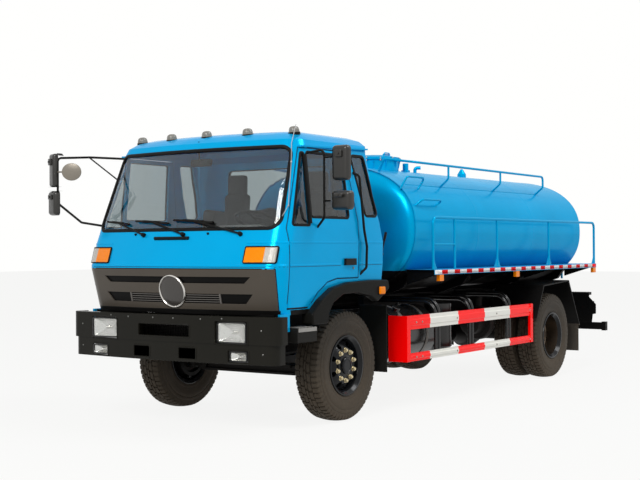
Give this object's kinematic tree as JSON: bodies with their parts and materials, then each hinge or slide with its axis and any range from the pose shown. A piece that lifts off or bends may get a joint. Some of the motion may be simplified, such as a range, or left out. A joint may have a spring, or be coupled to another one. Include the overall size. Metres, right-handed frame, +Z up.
{
  "type": "tanker truck",
  "caption": "Forward-control truck with an oval water tank, side walkways and railings, side guards, tilting cab, opening doors and hatch, steered front wheels and twin rear wheels.",
  "frame": {"origin": "centre of the bounding box in plan, on the ground under the tyres", "axes": "+Z up, -Y to the front of the truck, +X to its left, the driver's side"},
  "size_m": [3.13, 8.0278, 2.746],
  "materials": {
    "tyre": "dark brownish grey rubber",
    "rim_black": "semi-gloss black paint",
    "rim_brown": "brown metallic paint, dusty",
    "cast_parts": "rough cast, painted black",
    "spring_steel": "dull black",
    "chassis_black": "satin black",
    "engine_grey": "rough casting",
    "bumper_dark": "satin dark grey",
    "lamp_clear": "clear ribbed lens over a bright bowl",
    "tank_blue": "gloss blue paint",
    "rail_blue": "gloss blue paint",
    "pipe_steel": "bare steel",
    "guard_red": "gloss red with off-white sections",
    "drum_black": "gloss black paint",
    "step_black": "satin black with a light tread",
    "mudguard_black": "satin black",
    "lamp_red": "red lens",
    "cab_blue": "gloss blue paint",
    "grille_taupe": "satin taupe",
    "glass": "clear, lightly tinted",
    "fender_grey": "matt dark grey",
    "lamp_amber": "amber lens",
    "trim_black": "matt black",
    "seat_fabric": "dark woven cloth",
    "dash_grey": "grained grey"
  },
  "bodies": {
    "chassis": {"front_axle": "cast_parts", "leaf_springs": "spring_steel", "rear_axle": "cast_parts", "driveshaft": "chassis_black", "engine_block": "engine_grey", "chassis_rails": "chassis_black", "crossmembers": "chassis_black", "bumper": "bumper_dark", "front_lamps": "lamp_clear", "tank": "tank_blue", "tank_subframe": "chassis_black", "walkways": "tank_blue", "side_railings": "rail_blue", "hatch_collar": "tank_blue", "top_vents": "tank_blue", "top_rails": "rail_blue", "rear_ladder": "rail_blue", "outlet_pipe": "pipe_steel", "side_guards": "guard_red", "guard_pipes": "chassis_black", "fuel_tank": "drum_black", "air_canister": "drum_black", "battery_box": "chassis_black", "air_tank": "drum_black", "steps": "step_black", "rear_mudguards": "mudguard_black", "underrun_bar": "chassis_black", "tail_lamps": "lamp_red"},
    "cab": {"cab_shell": "cab_blue", "grille_panel": "grille_taupe", "cab_glass": "glass", "cab_fenders": "fender_grey", "cab_lamps": "lamp_amber", "wipers": "trim_black", "mirror_right": "trim_black", "grab_bars": "trim_black", "seats": "seat_fabric", "dashboard": "dash_grey"},
    "door_left": {"door_left": "cab_blue", "door_left_glass": "glass", "mirror_left": "trim_black"},
    "door_right": {"door_right": "cab_blue", "door_right_glass": "glass"},
    "steering_wheel": {"steering_wheel": "trim_black"},
    "hatch_lid": {"hatch_lid": "tank_blue"},
    "knuckle_left": {"knuckle_left": "cast_parts"},
    "knuckle_right": {"knuckle_right": "cast_parts"},
    "tie_rod": {"tie_rod": "cast_parts"},
    "front_left_wheel": {"front_left_tyre": "tyre", "front_left_rim": "rim_black"},
    "front_right_wheel": {"front_right_tyre": "tyre", "front_right_rim": "rim_black"},
    "rear_left_wheels": {"rear_left_tyres": "tyre", "rear_left_rims": "rim_brown"},
    "rear_right_wheels": {"rear_right_tyres": "tyre", "rear_right_rims": "rim_brown"}
  },
  "joints": [
    {"name": "cab_tilt", "type": "hinge", "parent": "chassis", "child": "cab", "pos_m": [0, -3.8, 1.01], "axis": [1, 0, 0], "range_deg": [0, 40]},
    {"name": "door_left_hinge", "type": "hinge", "parent": "cab", "child": "door_left", "pos_m": [1.155, -3.65, 1.8], "axis": [0, 0, -1], "range_deg": [0, 65]},
    {"name": "door_right_hinge", "type": "hinge", "parent": "cab", "child": "door_right", "pos_m": [-1.155, -3.65, 1.8], "axis": [0, 0, 1], "range_deg": [0, 65]},
    {"name": "steering_column", "type": "hinge", "parent": "cab", "child": "steering_wheel", "pos_m": [0.56, -3.3, 1.83], "axis": [0, 0.3875, 0.9219], "range_deg": [-630, 630]},
    {"name": "hatch_hinge", "type": "hinge", "parent": "chassis", "child": "hatch_lid", "pos_m": [-0.352, -0.38, 2.647], "axis": [0, -1, 0], "range_deg": [0, 110]},
    {"name": "steer_left", "type": "hinge", "parent": "chassis", "child": "knuckle_left", "pos_m": [0.8, -2.65, 0.523], "axis": [0, 0, 1], "range_deg": [-35, 35]},
    {"name": "steer_right", "type": "hinge", "parent": "chassis", "child": "knuckle_right", "pos_m": [-0.8, -2.65, 0.523], "axis": [0, 0, 1], "range_deg": [-35, 35]},
    {"name": "tie_rod_pivot", "type": "hinge", "parent": "knuckle_left", "child": "tie_rod", "pos_m": [0.8, -2.45, 0.39], "axis": [0, 0, 1], "range_deg": [-35, 35]},
    {"name": "front_left_spin", "type": "hinge", "parent": "knuckle_left", "child": "front_left_wheel", "pos_m": [0.962, -2.65, 0.523], "axis": [1, 0, 0], "continuous": true},
    {"name": "front_right_spin", "type": "hinge", "parent": "knuckle_right", "child": "front_right_wheel", "pos_m": [-0.962, -2.65, 0.523], "axis": [1, 0, 0], "continuous": true},
    {"name": "rear_left_spin", "type": "hinge", "parent": "chassis", "child": "rear_left_wheels", "pos_m": [0.935, 1.85, 0.523], "axis": [1, 0, 0], "continuous": true},
    {"name": "rear_right_spin", "type": "hinge", "parent": "chassis", "child": "rear_right_wheels", "pos_m": [-0.935, 1.85, 0.523], "axis": [1, 0, 0], "continuous": true}
  ],
  "couplings": [
    {"joint": "steer_right", "follows": "steer_left", "ratio": 1},
    {"joint": "tie_rod_pivot", "follows": "steer_left", "ratio": -1},
    {"joint": "steering_column", "follows": "steer_left", "ratio": 18}
  ]
}
